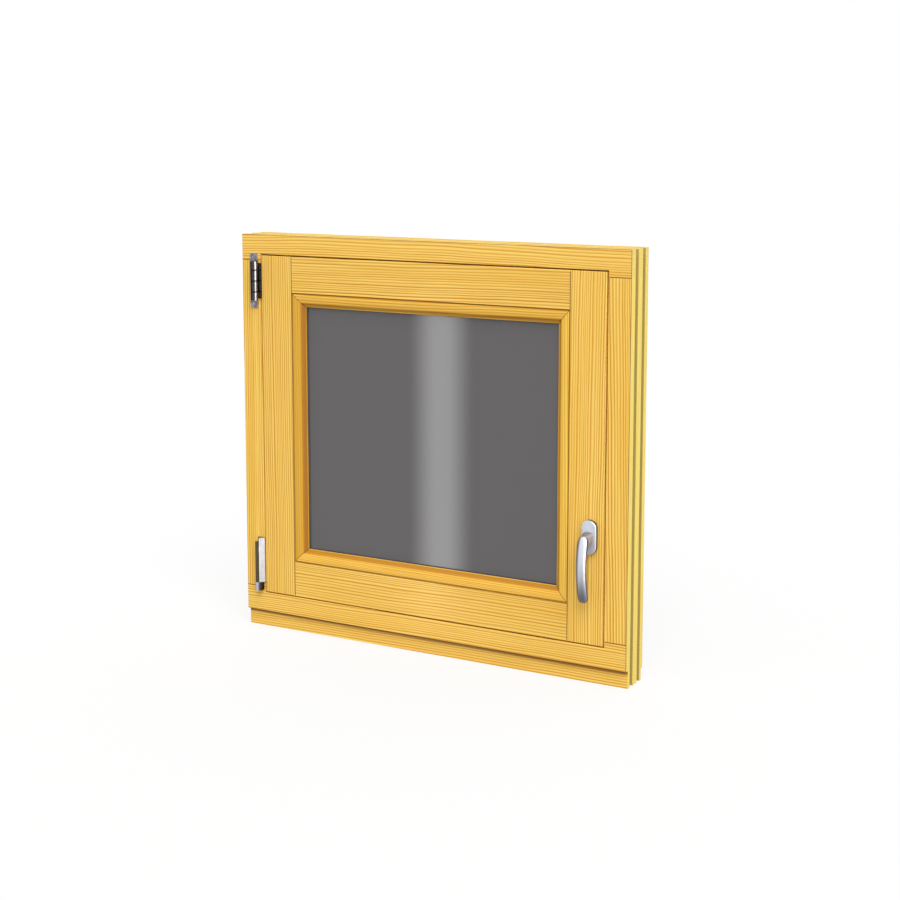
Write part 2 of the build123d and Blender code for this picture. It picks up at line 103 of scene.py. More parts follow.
# A bead's crown (painted highlight) and slope to the glass (painted shade), by distance from its outer
# joint
BEAD_CROWN = (2.0 * MM, 7.5 * MM, 9.5 * MM, 15.5 * MM)
BEAD_SLOPE = (15.5 * MM, 19.5 * MM, 24.0 * MM, 24.6 * MM)
BEAD_JOINT = (1.2 * MM, 2.6 * MM)

METAL_GRAIN = 260.0
METAL_CLOUD = 55.0
METAL_BUMP = 0.02 * MM
LEVER_SHEEN = (0.3, 0.3, 0.34, 1.0)
# Painted shade at the joints between knuckles: how far it reaches, and its near black
KNUCKLE_JOINT = (0.8 * MM, 1.3 * MM)
JOINT_BLACK = (0.004, 0.004, 0.004)
# The lever's neck, which gets a painted shade, starts this far before the rosette and ends this far below
# the axis
NECK_DEPTH = 17.0 * MM
NECK_FOOT = 30.0 * MM
# Below the neck's foot a painted shade darkens the lever between these distances
DARK_END = (72.0 * MM, 28.0 * MM)

# Spacer bars: distance between their holes and between the two rows, and the holes' edge
HOLE_PITCH = 3.0 * MM
ROW_PITCH = 5.0 * MM
ROW_SHIFT = 2.0 * MM
HOLE_EDGE = (0.3 * MM, 0.5 * MM)
HOLE_DARK = (0.05, 0.05, 0.05)

# Faces that meet at more than this angle have a sharp edge, and nearer vertices are merged
SHARP_ANGLE = radians(35)
DOUBLES = 0.001 * MM

# Ends of the grip: distance from the end, and its share of the grip's width and of its thickness
GRIP_TOP = ((0.0, 0.42, 0.50), (1.4 * MM, 0.66, 0.80), (4.6 * MM, 0.84, 0.96), (9.5 * MM, 0.94, 1.0))
GRIP_FOOT = ((0.0, 0.44, 0.50), (1.2 * MM, 0.70, 0.82), (3.8 * MM, 0.93, 0.98))
GRIP_FOOT_LENGTH = 11.0 * MM
GRIP_CORNERS = 16
GRIP_SQUARE = 0.18
GRIP_ROWS = 8
# Sections of the neck: stand-off from the rosette, half width, height above the axis and below it
NECK = (
    (10.5 * MM, 8.2 * MM, 8.0 * MM, 13.5 * MM),
    (7.0 * MM, 8.8 * MM, 9.4 * MM, 10.5 * MM),
    (3.5 * MM, 9.5 * MM, 9.8 * MM, 9.0 * MM),
    (0.8 * MM, 9.8 * MM, 9.8 * MM, 9.0 * MM),
    (0.3 * MM, 9.8 * MM, 9.8 * MM, 9.0 * MM),
    (0.3 * MM, 9.2 * MM, 9.2 * MM, 8.4 * MM),
    (0.3 * MM, 7.0 * MM, 7.0 * MM, 6.4 * MM),
)
NECK_SQUARE = 0.30
NECK_ROWS = 3
BACK_FACING = 0.35
LEVER_LEVELS = 2
ROSETTE_CORNERS = 48
ROSETTE_SEAM = 0.15 * MM
ROSETTE_BASE_BEVEL = 0.3 * MM

# Top hinge: its plate, the joints beside its outer knuckles, and its screws
PLATE_THICKNESS = 2.5 * MM
PLATE_WIDTH = 16.6 * MM
LEAF_TO_JOINT = 12.4 * MM
SCREW_RADIUS = 3.5 * MM
SCREW_INSET = 7.5 * MM
SCREW_PROUD = 0.4 * MM
SCREW_SINK = 1.1 * MM
# A screw's cross: cells of its grid, and where their lines lie as shares of the radius
SCREW_CELLS = 5
SCREW_LINES = {0: 1.0, 1: 0.62, 2: 0.16}
CROSS_REACH = 0.7
CROSS_WIDTH = 0.1
CROSS_TAPER = 0.8

# Stage: the floor as it is seen and as it lights the window, and the key lamp
FLOOR_SIZE = 30.0
FLOOR_SEEN = (0.80, 0.80, 0.80)
FLOOR_BOUNCE = (0.42, 0.42, 0.42)
FLOOR_WHITE = 0.75
WHITE = (1.0, 1.0, 1.0)
KEY_SIDE = Vector((0.55, -0.75, 1.05))
KEY_ANGLE = radians(40)
CARD_EDGE = 0.5


# Shader expressions
class Field:
    """A shader socket that Python expressions can use."""

    def __init__(self, tree, socket):
        self.tree = tree
        self.socket = socket

    def add(self, kind, settings=None, inputs=None, output=0):
        """Adds a node of one kind: its settings are set first, then its sockets' values or links."""
        node = self.tree.nodes.new("ShaderNode" + kind)
        for name, value in (settings or {}).items():
            setattr(node, name, value)
        for name, value in (inputs or {}).items():
            if isinstance(value, Field):
                self.tree.links.new(value.socket, node.inputs[name])
            else:
                node.inputs[name].default_value = value
        return Field(self.tree, node.outputs[output]) if node.outputs else None

    def math(self, operation, first, second=0.0):
        return self.add("Math", {"operation": operation}, {0: first, 1: second})

    def __add__(self, other):
        return self.math("ADD", self, other)

    __radd__ = __add__

    def __sub__(self, other):
        return self.math("SUBTRACT", self, other)

    def __rsub__(self, other):
        return self.math("SUBTRACT", other, self)

    def __mul__(self, other):
        return self.math("MULTIPLY", self, other)

    __rmul__ = __mul__

    def __truediv__(self, other):
        return self.math("DIVIDE", self, other)

    def __rtruediv__(self, other):
        return self.math("DIVIDE", other, self)

    def __abs__(self):
        return self.math("ABSOLUTE", self)

    def floor(self):
        return self.math("FLOOR", self)

    def fraction(self):
        return self.math("FRACT", self)

    def root(self):
        return self.math("SQRT", self)

    def most(self, other):
        return self.math("MAXIMUM", self, other)

    def least(self, other):
        return self.math("MINIMUM", self, other)

    def step(self, low, high):
        """Rises smoothly from 0 at low to 1 at high."""
        settings = {"interpolation_type": "SMOOTHSTEP"}
        return self.add("MapRange", settings, {"Value": self, "From Min": low, "From Max": high})

    def band(self, low, full, fading, high):
        """Rises from 0 at low to 1 at full, and falls from fading to 0 at high."""
        return self.step(low, full) * (1 - self.step(fading, high))

    def near(self, place, full, end):
        """1 near a place, up to the distance full, and 0 from the distance end."""
        return 1 - abs(self - place).step(full, end)

    def inside(self, low, high):
        """How far a place lies from the nearer of two ends, negative beyond them."""
        return (high - low) / 2 - abs(self - (low + high) / 2)

    def parts(self):
        """The three numbers of a vector."""
        node = self.add("SeparateXYZ", None, {"Vector": self}).socket.node
        return [Field(self.tree, output) for output in node.outputs]

    def mix(self, first, second):
        """Blends two colours: self is the second one's share."""
        # The Mix node has sockets 6 and 7 and output 2 for colours
        settings = {"data_type": "RGBA"}
        return self.add("Mix", settings, {0: self, 6: colour(first), 7: colour(second)}, output=2)


def toned(value, tone):
    """A lighter or darker colour."""
    return [min(channel * tone, 1.0) for channel in value]


def colour(value):
    """A colour with its alpha, or a field as it is."""
    return value if isinstance(value, Field) else (*value, 1.0)


class Finish:
    """A material under construction, with the surface's place and direction."""

    def __init__(self, name):
        self.material = bpy.data.materials.new(name)
        self.material.use_nodes = True
        self.material.node_tree.nodes.clear()
        self.start = Field(self.material.node_tree, None)
        self.place = self.start.add("TexCoord", output="Object")
        self.normal = self.start.add("TexCoord", output="Normal")

    def vector(self, x, y, z):
        return self.start.add("CombineXYZ", None, {"X": x, "Y": y, "Z": z})

    def noise(self, place, scale=1.0, detail=2.0):
        """Smooth noise from 0 to 1."""
        return self.start.add("TexNoise", None, {"Vector": place, "Scale": scale, "Detail": detail})

    def random(self, value):
        """A steady random number for each value."""
        return self.start.add("TexWhiteNoise", {"noise_dimensions": "1D"}, {"W": value})

    def surface(self, base, roughness, bump=None, depth=0.2 * MM, **settings):
        """Ends the material in one shader, with a bump where there is one."""
        inputs = {"Base Color": colour(base), "Roughness": roughness}
        inputs.update({name.replace("_", " "): value for name, value in settings.items()})
        if bump is not None:
            relief = {"Height": bump, "Distance": depth, "Strength": 1.0}
            inputs["Normal"] = self.start.add("Bump", None, relief)
        shader = self.start.add("BsdfPrincipled", None, inputs)
        return self.end(shader)

    def end(self, shader):
        """Sends a shader to the material's output."""
        self.start.add("OutputMaterial", None, {"Surface": shader})
        return self.material


# Finishes
def growth_rings(finish, grain, pith, shift, taper, spacing):
    """Places along and across the grain and deep, and the share of dark late wood, for one member.

    The tree's middle, pith, is given as a place across the member and a depth. A taper of the tree
    draws pointed arches where the cut runs along its rings.
    """
    x, depth, z = finish.place.parts()
    along, across = (x, z) if grain == "X" else (z, x)
    wander = finish.noise(finish.vector(along * WANDER + shift, shift * 3.1, 0.5), detail=1.0) - 0.5
    rippled = finish.vector(along * RIPPLE_ALONG, across * RIPPLE_ACROSS + shift, depth * RIPPLE_ACROSS)
    ripple = finish.noise(rippled, detail=1.0) - 0.5
    side = across - pith[0] + wander * WANDER_SIDEWAYS + ripple * RIPPLE_BEND
    deep = depth - pith[1] + wander * WANDER_DEEP - along * taper
    radius = (side * side + deep * deep).root()
    uneven = finish.noise(finish.vector(radius * UNEVEN, shift, 2.0), detail=1.0)
    growth = radius / spacing + uneven * UNEVEN_RINGS
    strength = finish.random(growth.floor() + shift) * 0.45 + 0.55
    late = growth.fraction().band(*LATE_WOOD) * strength
    fine = (growth * FINE_LINES + shift).fraction().band(*FINE_LINE)
    return (along, across, depth), (late + fine * 0.18).least(1.0)


def grain_noise(finish, run, shift, scales, detail=2.0):
    """Noise that is drawn out along the grain."""
    along, across, depth = run
    long, fine = scales
    return finish.noise(finish.vector(along * long, across * fine, depth * fine + shift), detail=detail)


def pine(name, grain, pith, shift, tone, taper):
    """Varnished pine for a member of the frame or the sash."""
    wood = bpy.context.scene.window_wood
    finish = Finish(name)
    spacing = wood.ring_spacing if grain == "X" else wood.upright_spacing
    run, late = growth_rings(finish, grain, pith, shift, taper, spacing)
    fibre = grain_noise(finish, run, shift, FIBRE)
    cloud = grain_noise(finish, run, shift, CLOUD, detail=1.0)
    dark = toned(wood.late, tone)
    base = late.mix(toned(wood.early, tone), dark)
    base = (fibre.step(0.42, 0.75) * 0.30).mix(base, dark)
    base = (cloud.step(0.40, 0.75) * 0.25).mix(base, wood.amber)

    # End grain is darker
    x, depth, z = finish.place.parts()
    nx, ny, nz = [abs(part) for part in finish.normal.parts()]
    cut = (nx if grain == "X" else nz).step(*END_GRAIN)
    base = (cut * (0.35 + 0.35 * late)).mix(base, wood.late)

    # The frame's outer edges are unfinished wood, paler partly as a painted highlight
    # Top faces get less of that pale tone as painted shade, and painted shade darkens the grooves
    beyond = (abs(x) - FRAME_HIGH.x).most(z - FRAME_HIGH.z)
    raw_and_lit = beyond.step(-RAW_REACH, SHARP - RAW_REACH)
    raw_and_lit = raw_and_lit * (1 - abs(depth).step(RAW_DEPTH, RAW_DEPTH + SHARP))
    raw_and_lit = raw_and_lit * beyond.step(-2 * SHARP, -SHARP).most(depth.step(GROOVES[0] - SOFT, GROOVES[0]))
    base = (raw_and_lit * (0.8 - 0.7 * nz)).mix(base, wood.raw_and_lit)
    groove_shade = raw_and_lit * depth.band(GROOVES[0] - SOFT, GROOVES[0], GROOVES[1], GROOVES[1] + SOFT)
    groove_shade = groove_shade * (1 - beyond.step(-GROOVE_FLOOR, -SOFT))
    base = (groove_shade * 0.9).mix(base, wood.groove_shade)

    # Painted shade darkens the arrises and V-joints, but hardly those of the seam round the sash
    slant = ny.band(*ARRIS)
    seam = x.inside(-SEAM_SIDE, SEAM_SIDE).least(z.inside(SEAM_LOW, SEAM_HIGH))
    seam = seam.near(0, 2.0 * MM, 3.0 * MM)
    base = (slant * (0.95 - 0.90 * seam)).mix(base, wood.seam)

    # A painted shadow darkens the recess below its top, in the seam colour
    under = z.band(*RECESS_SHADOW, RECESS_TOP, RECESS_TOP + SHARP)
    under = under * depth.near(RECESS_DEPTH, 0.5 * MM, 1.0 * MM)
    base = (under * ny * 0.95).mix(base, wood.seam)

    roughness = 0.42 + 0.10 * fibre - 0.06 * late + 0.15 * raw_and_lit + 0.35 * slant
    height = fibre * 0.5 - late * 0.5
    return finish.surface(
        base, roughness, height, WOOD_BUMP, Coat_Weight=(1 - slant) * wood.coat, Coat_Roughness=0.22,
        Specular_IOR_Level=0.22)


def bead_pine(name, grain, pith, shift, tone, taper, warmth, slope_shade):
    """Varnished pine for a glazing bead.

    Warmth is the amount of amber, of which the bead's crown has less as a painted highlight, and
    slope_shade is the share of a painted shade on its slope. Its outer joint and its mitres are
    stained too.
    """
    wood = bpy.context.scene.window_wood
    finish = Finish(name)
    run, late = growth_rings(finish, grain, pith, shift, taper, wood.bead_spacing)
    fibre = grain_noise(finish, run, shift, BEAD_FIBRE)
    dark = toned(wood.bead_late, tone)
    base = late.mix(toned(wood.bead_early, tone), dark)
    base = (fibre.step(0.42, 0.75) * 0.35).mix(base, dark)

    x, depth, z = finish.place.parts()
    in_x = x.inside(-BEADS_HIGH.x, BEADS_HIGH.x)
    in_z = z.inside(BEADS_LOW.z, BEADS_HIGH.z)
    inward = in_x.least(in_z)
    # Less amber on the crown is a painted highlight
    amber_and_crown_highlight = (warmth + 0.2 * fibre * warmth) * (1.5 - inward.band(*BEAD_CROWN))
    base = amber_and_crown_highlight.mix(base, toned(wood.amber, tone))
    # A painted shade on the slope to the glass
    base = (inward.band(*BEAD_SLOPE) * slope_shade).mix(base, wood.bead_slope)
    joint = 1 - inward.step(*BEAD_JOINT)
    mitre = (in_x - in_z).near(0, 0.5 * MM, 1.0 * MM)
    base = (joint.most(mitre) * 0.75).mix(base, wood.seam)
    roughness = 0.58 + 0.10 * fibre + 0.1 * joint
    return finish.surface(base, roughness, fibre - mitre, WOOD_BUMP, Specular_IOR_Level=0.1)


def dark_joints(z, heights):
    """1 at the joints between a hinge's knuckles, where a painted shade makes the barrel black."""
    mask = 0
    for height in heights:
        mask = z.near(height, *KNUCKLE_JOINT).most(mask)
    return mask


def satin_metal(name, base, roughness, drawn=(1.0, 1.0, 1.0), metallic=1.0, sides=None, joints=()):
    """Satin metal.

    Drawn gives how much finer its lines are across each axis, sides a colour of painted shade for the
    surfaces that face sideways, and joints the heights of the knuckle joints, which get a painted shade.
    """
    finish = Finish(name)
    x, y, z = finish.place.parts()
    lines = finish.noise(finish.vector(x * drawn[0], y * drawn[1], z * drawn[2]), METAL_GRAIN, 3.0)
    blotch = finish.noise(finish.place, METAL_CLOUD)
    shade = (blotch.step(0.3, 0.75) * 0.6 + lines * 0.4).mix(base, toned(base, 0.7))
    # Painted shade on the surfaces that face sideways
    if sides is not None:
        shade = abs(finish.normal.parts()[0]).step(0.25, 0.7).mix(shade, sides)
    # Painted shade at the knuckle joints
    if joints:
        shade = dark_joints(z, joints).mix(shade, JOINT_BLACK)
    rough = roughness + (lines - 0.5) * 0.3 * roughness + (blotch - 0.5) * 0.3 * roughness
    return finish.surface(shade, rough, lines, METAL_BUMP, Metallic=metallic)


def lever_metal(name, base, neck, lever_shade, start, foot):
    """Satin aluminium, matte on the neck and darker there with painted shade: behind the depth start,
    above the height foot.
    """
    finish = Finish(name)
    x, y, z = finish.place.parts()
    lines = finish.noise(finish.vector(x, y, z * 0.1), METAL_GRAIN, 3.0)
    blotch = finish.noise(finish.place, METAL_CLOUD)
    shade = (blotch.step(0.3, 0.75) * 0.3 + lines * 0.2).mix(base, toned(base, 0.85))
    behind = y.step(start - 1.5 * MM, start + 1.5 * MM) * z.step(foot - 5 * MM, foot + 5 * MM)
    # Painted shade darkens the edges: those towards the hinges, those fully to the other side, and those
    # below
    nx, ny, nz = finish.normal.parts()
    edge = (0 - nx).step(0.05, 0.30).most(nx.step(0.62, 0.88)).most((0 - nz).step(0.32, 0.7))
    # Painted shade darkens the lower end
    low = 1 - z.step(foot - DARK_END[0], foot - DARK_END[1])
    shade = (low * 0.86).most(edge * 0.95).mix(shade, lever_shade)
    # Painted shade on the neck
    shade = behind.mix(shade, neck)
    rough = 0.34 + 0.08 * blotch + 0.38 * behind
    return finish.surface(shade, rough, lines, METAL_BUMP, Metallic=0.75, Specular_Tint=LEVER_SHEEN)


def zinc_metal(name, base, tint, dark, front, joints):
    """Zinc plated steel with its cloudy tint, and dark polished where it stands forward of front."""
    finish = Finish(name)
    blotch = finish.noise(finish.place, 160.0, 3.0)
    cloud = finish.noise(finish.place, 420.0)
    y, z = finish.place.parts()[1:]
    lug = 1 - y.step(front - 2 * SHARP, front - SHARP)
    shade = lug.mix(blotch.step(0.35, 0.65).mix(base, tint), dark)
    # Painted shade at the knuckle joints of the lugs
    shade = (lug * dark_joints(z, joints)).mix(shade, JOINT_BLACK)
    rough = 0.30 + 0.22 * cloud - lug * (0.05 + 0.18 * cloud)
    return finish.surface(shade, rough, cloud * (1 - lug), 0.04 * MM, Metallic=1.0)


def rubber(name, base):
    """Matte rubber with a fine bloom."""
    finish = Finish(name)
    bloom = finish.noise(finish.place, 140.0, 3.0)
    grain = finish.noise(finish.place, 2200.0)
    shade = bloom.step(0.4, 0.8).mix(base, toned(base, 1.9))
    return finish.surface(shade, 0.62 + 0.2 * bloom, grain, 0.04 * MM)


def plastic(name, base):
    """Moulded plastic with a spark-eroded grain."""
    finish = Finish(name)
    grain = finish.noise(finish.place, 1800.0)
    cloud = finish.noise(finish.place, 60.0)
    shade = cloud.step(0.3, 0.8).mix(base, toned(base, 0.8))
    return finish.surface(shade, 0.42 + 0.2 * grain, grain, 0.05 * MM)


def spacer_metal(name, base):
    """Spacer bars: rolled aluminium with its two rows of small holes."""
    finish = Finish(name)
    x, y, z = finish.place.parts()
    along = ((x + z) / HOLE_PITCH).fraction() - 0.5
    row = ((y + ROW_SHIFT) / ROW_PITCH).fraction() - 0.5
    away = (along * along * HOLE_PITCH ** 2 + row * row * ROW_PITCH ** 2).root()
    hole = 1 - away.step(*HOLE_EDGE)
    shade = hole.mix(base, HOLE_DARK)
    scuff = finish.noise(finish.place, 300.0, 3.0)
    return finish.surface(shade, 0.34 + 0.2 * scuff, 1 - hole, Metallic=0.9)


def tinted_glass(name, tint, clear):
    """Tinted glass with a trace of roughness where dust lies."""
    finish = Finish(name)
    dust = finish.noise(finish.place, 30.0, 4.0)
    return finish.surface(tint, 0.002 + 0.003 * dust, Transmission_Weight=clear, IOR=1.5)


# Mesh helpers
def dress(names, material):
    """Gives one finish to nodes that keep their own shape."""
    for name in names:
        mesh = nodes[name].data
        mesh.materials.clear()
        mesh.materials.append(material)


def add_piece(name, mesh, material, body, replaced=(), smooth=SHARP_ANGLE, levels=0):
    """Turns a finished mesh into a piece that rides on a body and stands for its nodes.

    Edges steeper than the angle smooth stay sharp, and levels rounds the whole piece.
    """
    bmesh.ops.remove_doubles(mesh, verts=mesh.verts, dist=DOUBLES)
    bmesh.ops.recalc_face_normals(mesh, faces=mesh.faces)
    data = bpy.data.meshes.new(name)
    mesh.to_mesh(data)
    mesh.free()
    data.shade_smooth()
    if smooth:
        data.set_sharp_from_angle(angle=smooth)
    data.materials.append(material)
    piece = bpy.data.objects.new(name, data)
    bpy.context.scene.collection.objects.link(piece)
    if levels:
        rounding = piece.modifiers.new("Rounding", "SUBSURF")
        rounding.levels = levels
        rounding.render_levels = levels
    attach(piece, body)
    if replaced:
        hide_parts(*replaced)


def facing_room(centre):
    """Turns what lies level to face the room, and takes it to its place."""
    return Matrix.Translation(centre) @ Matrix.Rotation(pi / 2, 4, "X")


def new_verts(made):
    """The vertices among what an operator made."""
    return [item for item in made if isinstance(item, bmesh.types.BMVert)]


def bevel(mesh, edges, size):
    """Rounds edges."""
    bmesh.ops.bevel(
        mesh, geom=edges, offset=size, offset_type="OFFSET", segments=3, profile=0.5,
        affect="EDGES", material=-1, clamp_overlap=True)


def prism(mesh, base, rise):
    """Thickens a flat face along rise. Returns its end face."""
    grown = bmesh.ops.extrude_face_region(mesh, geom=[base], use_keep_orig=True)["geom"]
    bmesh.ops.translate(mesh, verts=new_verts(grown), vec=rise)
    return next(item for item in grown if isinstance(item, bmesh.types.BMFace))


def oval(mesh, centre, width, height):
    """An upright oval face with straight sides, facing the room."""
    turn = Matrix.Rotation(pi / ROSETTE_CORNERS, 4, "Z")
    verts = bmesh.ops.create_circle(
        mesh, segments=ROSETTE_CORNERS, radius=width / 2, cap_ends=True, matrix=turn)["verts"]
    for side in (1, -1):
        half = [vert for vert in verts if vert.co.y * side > 0]
        bmesh.ops.translate(mesh, verts=half, vec=(0, side * (height - width) / 2, 0))
    bmesh.ops.transform(mesh, verts=verts, matrix=facing_room(centre))
    return verts[0].link_faces[0]


def squared_circle(mesh, segments, amount):
    """A unit circle whose corners are pushed outwards."""
    verts = bmesh.ops.create_circle(mesh, segments=segments, radius=1.0, cap_ends=False)["verts"]
    for vert in verts:
        vert.co.x *= 1 + amount * (1 - vert.co.x ** 2)
        vert.co.y *= 1 + amount * (1 - vert.co.y ** 2)
    return verts


def grow_loop(mesh, edges, matrix):
    """Extrudes a loop of edges, moves the new loop and returns its edges."""
    grown = bmesh.ops.extrude_edge_only(mesh, edges=edges)["geom"]
    verts = new_verts(grown)
    bmesh.ops.transform(mesh, matrix=matrix, verts=verts)
    fresh = set(verts)
    return [item for item in grown
            if isinstance(item, bmesh.types.BMEdge) and all(vert in fresh for vert in item.verts)]


def grow_tube(mesh, edges, places):
    """Extrudes a loop of edges from the first place through the others, and closes its end."""
    for previous, here in zip(places, places[1:]):
        edges = grow_loop(mesh, edges, here @ previous.inverted())
    bmesh.ops.contextual_create(mesh, geom=edges)


# Fine pieces
def handle_lever_cage(mesh, sizes):
    """A cage for the bowed grip and, from its back, the neck down to the rosette."""
    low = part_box("handle_lever")[0]
    rosette_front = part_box("handle_rosette")[0].y
    axis = HANDLE_AXIS
    top, bottom = sizes.grip_above, low.z - axis.z
    middle = (top + bottom) / 2

    def stand(height):
        """How far the grip's middle line stands off the rosette."""
        share = (height - middle) / (top - middle)
        slope = (sizes.stand_top - sizes.stand_end) / 2
        bend = (sizes.stand_top + sizes.stand_end) / 2 - sizes.stand_middle
        return sizes.stand_middle + slope * share + bend * share * share

    def place(height, wide, deep):
        """Takes the unit section to its place on the grip."""
        lean = (stand(height + MM) - stand(height - MM)) / (2 * MM)
        centre = Vector((axis.x, rosette_front - stand(height), axis.z + height))
        size = Matrix.Diagonal((wide * sizes.grip_width / 2, deep * sizes.grip_thickness / 2, 1, 1))
        return Matrix.Translation(centre) @ Matrix.Rotation(lean, 4, "X") @ size

    def neck_place(stand_off, wide, above, below):
        """Takes the unit section to its place on the neck."""
        centre = Vector((axis.x, rosette_front - stand_off, axis.z + (above - below) / 2))
        size = Matrix.Diagonal((wide, (above + below) / 2, 1, 1))
        return facing_room(centre) @ size

    # Rows of the grip: its top, the rows that the neck grows from, the rest, and its foot
    neck_top, neck_bottom = top - GRIP_TOP[1][0], -sizes.neck_below
    shoulder = top - GRIP_TOP[-1][0]
    spots = [(top - drop, wide, deep) for drop, wide, deep in GRIP_TOP]
    run = (shoulder - neck_bottom) / NECK_ROWS
    spots += [(shoulder - run * (row + 1), 1.0, 1.0) for row in range(NECK_ROWS)]
    run = bottom + GRIP_FOOT_LENGTH - neck_bottom
    spots += [(neck_bottom + run * (row + 1) / GRIP_ROWS, 1.0, 1.0) for row in range(GRIP_ROWS)]
    spots += [(bottom + drop, wide, deep) for drop, wide, deep in reversed(GRIP_FOOT)]
    places = [place(*spot) for spot in spots]

    section = squared_circle(mesh, GRIP_CORNERS, GRIP_SQUARE)
    edges = list(mesh.edges)
    bmesh.ops.transform(mesh, matrix=places[0], verts=section)
    mesh.faces.new(section)
    grow_tube(mesh, edges, places)

    # A patch on the grip's back opens into the neck
    bmesh.ops.recalc_face_normals(mesh, faces=mesh.faces)
    patch = [
        face for face in mesh.faces
        if neck_bottom < face.calc_center_median().z - axis.z < neck_top and face.normal.y > BACK_FACING
    ]
    rim = [edge for edge in mesh.edges if sum(face in patch for face in edge.link_faces) == 1]
    bmesh.ops.delete(mesh, geom=patch, context="FACES")
    places = [neck_place(*spot) for spot in NECK]
    ring = squared_circle(mesh, len(rim), NECK_SQUARE)
    bmesh.ops.transform(mesh, matrix=places[0], verts=ring)
    edges = [edge for edge in mesh.edges if edge.verts[0] in ring]
    bmesh.ops.bridge_loops(mesh, edges=rim + edges)
    grow_tube(mesh, edges, places)


def cross_screw(mesh, centre, radius):
    """A countersunk screw head with a cross recess, facing the room."""
    cells = SCREW_CELLS
    made = bmesh.ops.create_grid(mesh, x_segments=cells, y_segments=cells, size=1.0)["verts"]
    for vert in made:
        column, line = (round((value + 1) * cells / 2) for value in vert.co.xy)
        x = SCREW_LINES[min(column, cells - column)] * (-1 if column < cells / 2 else 1)
        y = SCREW_LINES[min(line, cells - line)] * (-1 if line < cells / 2 else 1)
        on_rim = 1.0 in (abs(x), abs(y))
        scale = radius / sqrt(x * x + y * y) if on_rim else radius
        vert.co = Vector((x * scale, y * scale, 0))
    cross = []
    for face in mesh.faces:
        across, along = sorted(abs(value) for value in face.calc_center_median().xy)
        if face.verts[0] in made and along < CROSS_REACH * radius and across < CROSS_WIDTH * radius:
            cross.append(face)
    sunk = new_verts(bmesh.ops.extrude_face_region(mesh, geom=cross)["geom"])
    bmesh.ops.delete(mesh, geom=cross, context="FACES")
    outline = [edge for edge in mesh.edges if edge.is_boundary and all(vert in made for vert in edge.verts)]
    skirt = new_verts(bmesh.ops.extrude_edge_only(mesh, edges=outline)["geom"])
    for lowered in (sunk, skirt):
        bmesh.ops.translate(mesh, vec=(0, 0, -SCREW_SINK), verts=lowered)
        bmesh.ops.scale(mesh, vec=(CROSS_TAPER, CROSS_TAPER, 1), verts=lowered)
    every = list({*made, *sunk, *skirt})
    bmesh.ops.transform(mesh, matrix=facing_room(centre), verts=every)


# Sizes and colours that a user would change
class WindowWood(bpy.types.PropertyGroup):
    """Colours and grain of the pine."""

    early: FloatVectorProperty(
        name="Early wood", description="Pale part of each growth ring", subtype="COLOR", size=3,
        default=(1.0, 0.685, 0.148), min=0, max=1)
    late: FloatVectorProperty(
        name="Late wood", description="Dark part of each growth ring", subtype="COLOR", size=3,
        default=(0.60, 0.225, 0.004), min=0, max=1)
    bead_early: FloatVectorProperty(
        name="Bead early wood", description="Pale rings of the beads", subtype="COLOR", size=3,
        default=(0.84, 0.53, 0.105), min=0, max=1)
    bead_late: FloatVectorProperty(
        name="Bead late wood", description="Dark rings of the beads", subtype="COLOR", size=3,
        default=(0.50, 0.215, 0.012), min=0, max=1)
    # A painted shade on the bead's slope to the glass
    bead_slope: FloatVectorProperty(
        name="Bead slope", description="Deeper tone on the slope to the glass", subtype="COLOR", size=3,
        default=(0.40, 0.155, 0.010), min=0, max=1)
    amber: FloatVectorProperty(
        name="Amber", description="Warmer patches of the wood", subtype="COLOR", size=3,
        default=(0.80, 0.40, 0.018), min=0, max=1)
    # Unfinished wood on the frame's outer edges, paler partly as a painted highlight
    raw_and_lit: FloatVectorProperty(
        name="Raw edge", description="Wood on the frame's outer edges", subtype="COLOR", size=3,
        default=(1.0, 0.79, 0.15), min=0, max=1)
    # Painted shade in the outer edges' grooves
    groove_shade: FloatVectorProperty(
        name="Groove", description="Wood in the outer edges' grooves", subtype="COLOR", size=3,
        default=(0.44, 0.33, 0.10), min=0, max=1)
    # The seam colour stains the beads' joints and mitres, and also paints shade in the arrises and a shadow
    # in the recess
    seam: FloatVectorProperty(
        name="Seam", description="Stain where varnish gathers in the joints", subtype="COLOR", size=3,
        default=(0.20, 0.08, 0.010), min=0, max=1)
    ring_spacing: FloatProperty(
        name="Ring spacing", description="Distance between the rings of rails", unit="LENGTH",
        default=4.6 * MM, min=MM, max=20 * MM)
    upright_spacing: FloatProperty(
        name="Upright ring spacing", description="Distance between the rings of stiles and jambs",
        unit="LENGTH", default=4.2 * MM, min=MM, max=20 * MM)
    bead_spacing: FloatProperty(
        name="Bead ring spacing", description="Distance between the rings of the beads", unit="LENGTH",
        default=3.2 * MM, min=MM, max=20 * MM)
    coat: FloatProperty(
        name="Varnish", description="Strength of the varnish", subtype="FACTOR",
        default=0.15, min=0, max=1)


